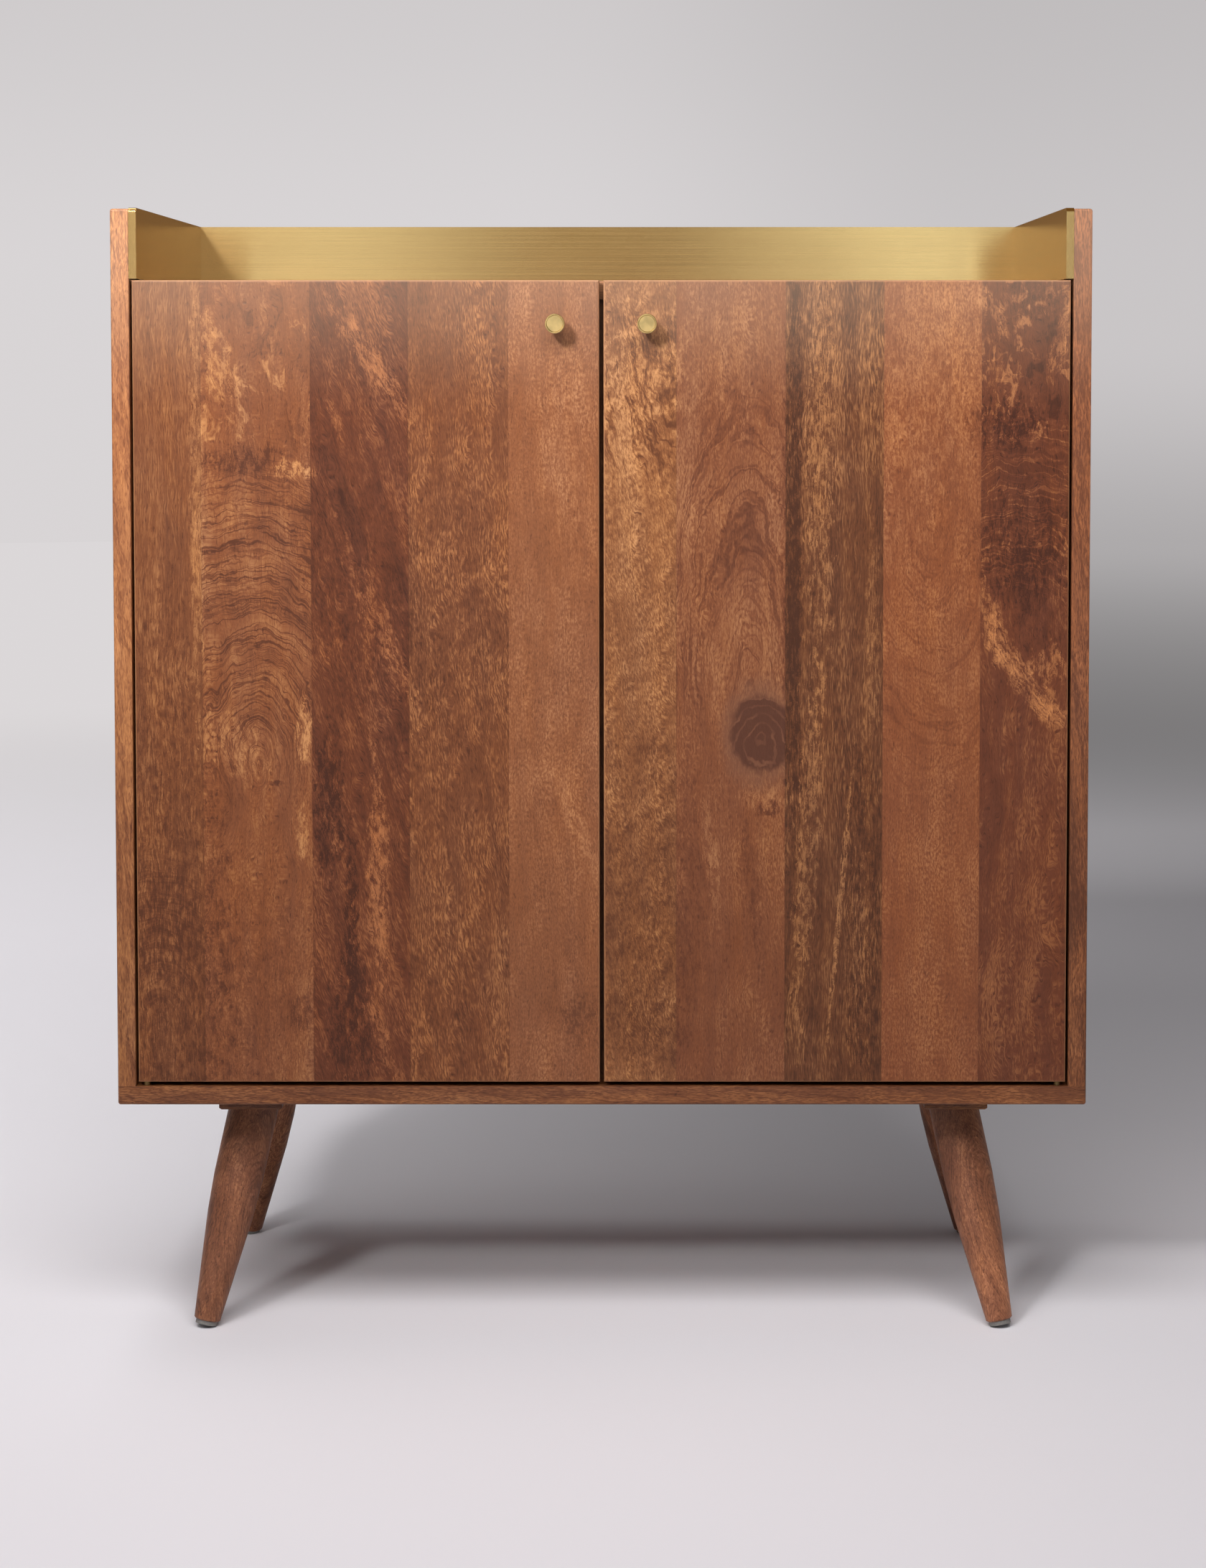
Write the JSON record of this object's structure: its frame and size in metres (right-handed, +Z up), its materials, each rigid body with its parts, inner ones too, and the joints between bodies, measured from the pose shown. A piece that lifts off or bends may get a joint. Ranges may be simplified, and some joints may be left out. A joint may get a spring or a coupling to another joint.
{
  "type": "bar cabinet with fold-out shelf",
  "caption": "Wooden bar cabinet on splayed turned legs, with two inset doors, a brass-lined gallery top and an inner shelf that folds out.",
  "frame": {"origin": "on the floor, under the middle of the plan outline from the knob faces to the back", "axes": "+Z up, +X to the right of a person facing the doors, the doors face -Y"},
  "size_m": [0.9, 0.422, 1.0578],
  "materials": {
    "mango_wood": "satin oiled, strongly figured staves",
    "back_plywood": "matte stained plywood",
    "packing_wood": "raw, sawn",
    "brushed_brass": "brushed",
    "turned_brass": "turned, satin",
    "hinge_brass": "satin",
    "zinc_steel": "zinc plated",
    "glide_plastic": "matte dark grey",
    "catch_plastic": "matte brown",
    "ferrite_magnet": "matte black"
  },
  "bodies": {
    "cabinet": {"adjustable_shelf": "mango_wood", "back_panel": "back_plywood", "back_panel_screws": "zinc_steel", "bottom_panel": "mango_wood", "catch_magnets": "ferrite_magnet", "centre_divider": "mango_wood", "fixed_shelf": "mango_wood", "flap_hinge_pins": "hinge_brass", "front_bottle_cradle": "mango_wood", "front_left_glide": "glide_plastic", "front_left_leg": "mango_wood", "front_left_leg_block": "mango_wood", "front_right_glide": "glide_plastic", "front_right_leg": "mango_wood", "front_right_leg_block": "mango_wood", "gallery_back_board": "mango_wood", "gallery_liner_back": "brushed_brass", "gallery_liner_left": "brushed_brass", "gallery_liner_right": "brushed_brass", "gallery_packing_strips": "packing_wood", "hanger_bolts": "zinc_steel", "left_bottom_pivot_plate": "hinge_brass", "left_catch_housing": "catch_plastic", "left_flap_hinge_shelf_half": "hinge_brass", "left_side_panel": "mango_wood", "left_top_pivot_plate": "hinge_brass", "leg_block_screws": "zinc_steel", "rear_bottle_cradle": "mango_wood", "rear_left_glide": "glide_plastic", "rear_left_leg": "mango_wood", "rear_left_leg_block": "mango_wood", "rear_right_glide": "glide_plastic", "rear_right_leg": "mango_wood", "rear_right_leg_block": "mango_wood", "right_bottom_pivot_plate": "hinge_brass", "right_catch_housing": "catch_plastic", "right_flap_hinge_shelf_half": "hinge_brass", "right_side_panel": "mango_wood", "right_top_pivot_plate": "hinge_brass", "shelf_pins": "zinc_steel", "stemware_rail_1": "mango_wood", "stemware_rail_2": "mango_wood", "stemware_rail_3": "mango_wood", "stemware_rail_4": "mango_wood", "top_panel": "mango_wood"},
    "left_door": {"left_door": "mango_wood", "left_door_top_plate": "hinge_brass", "left_door_bottom_plate": "hinge_brass", "left_knob": "turned_brass", "left_knob_screw": "zinc_steel", "left_strike_plate": "zinc_steel"},
    "right_door": {"right_door": "mango_wood", "right_door_top_plate": "hinge_brass", "right_door_bottom_plate": "hinge_brass", "right_knob": "turned_brass", "right_knob_screw": "zinc_steel", "right_strike_plate": "zinc_steel"},
    "fold_out_leaf": {"fold_out_leaf": "mango_wood", "left_flap_hinge_leaf_half": "hinge_brass", "right_flap_hinge_leaf_half": "hinge_brass"}
  },
  "joints": [
    {"name": "left_door_pivot", "type": "hinge", "parent": "cabinet", "child": "left_door", "pos_m": [-0.4236, -0.1825, 0.6], "axis": [0, 0, -1], "range_deg": [0, 110]},
    {"name": "right_door_pivot", "type": "hinge", "parent": "cabinet", "child": "right_door", "pos_m": [0.4236, -0.1825, 0.6], "axis": [0, 0, 1], "range_deg": [0, 110]},
    {"name": "leaf_flap", "type": "hinge", "parent": "cabinet", "child": "fold_out_leaf", "pos_m": [-0.2205, -0.129, 0.6472], "axis": [1, 0, 0], "range_deg": [0, 180]}
  ],
  "couplings": [
    {"joint": "leaf_flap", "follows": "left_door_pivot", "ratio": 1.6363}
  ]
}
